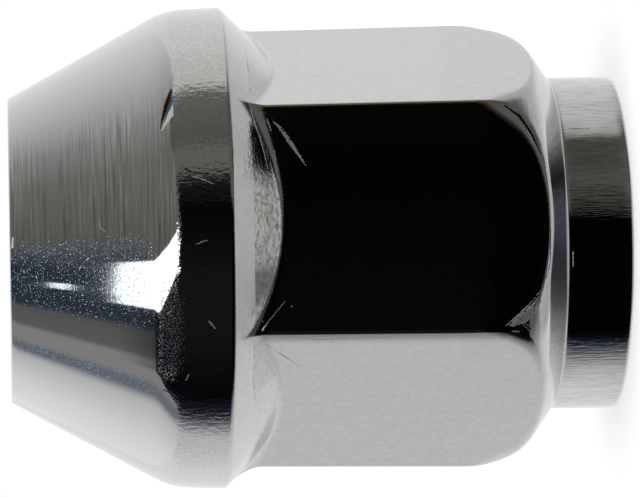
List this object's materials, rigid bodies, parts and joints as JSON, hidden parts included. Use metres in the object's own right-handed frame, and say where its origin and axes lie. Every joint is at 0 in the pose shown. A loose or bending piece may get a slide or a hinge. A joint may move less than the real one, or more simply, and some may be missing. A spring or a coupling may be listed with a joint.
{
  "type": "lug nut",
  "caption": "Chrome plated wheel lug nut with a conical seat, bulge band, hex body, domed crown, closed collar end and blind threaded bore.",
  "frame": {"origin": "centre of the flat closed end of the collar, on which the nut stands", "axes": "+Z along the thread's axis towards the cone and the mouth of the bore, -Y out of one flat of the hexagon, +X out of one of its corners"},
  "size_m": [0.0262, 0.0262, 0.0328],
  "materials": {
    "chrome_plate": "bright chrome plating over forged and turned steel, pebbled in places, with turning marks and small nicks"
  },
  "bodies": {
    "root": {"lug_nut": "chrome_plate"}
  },
  "joints": []
}
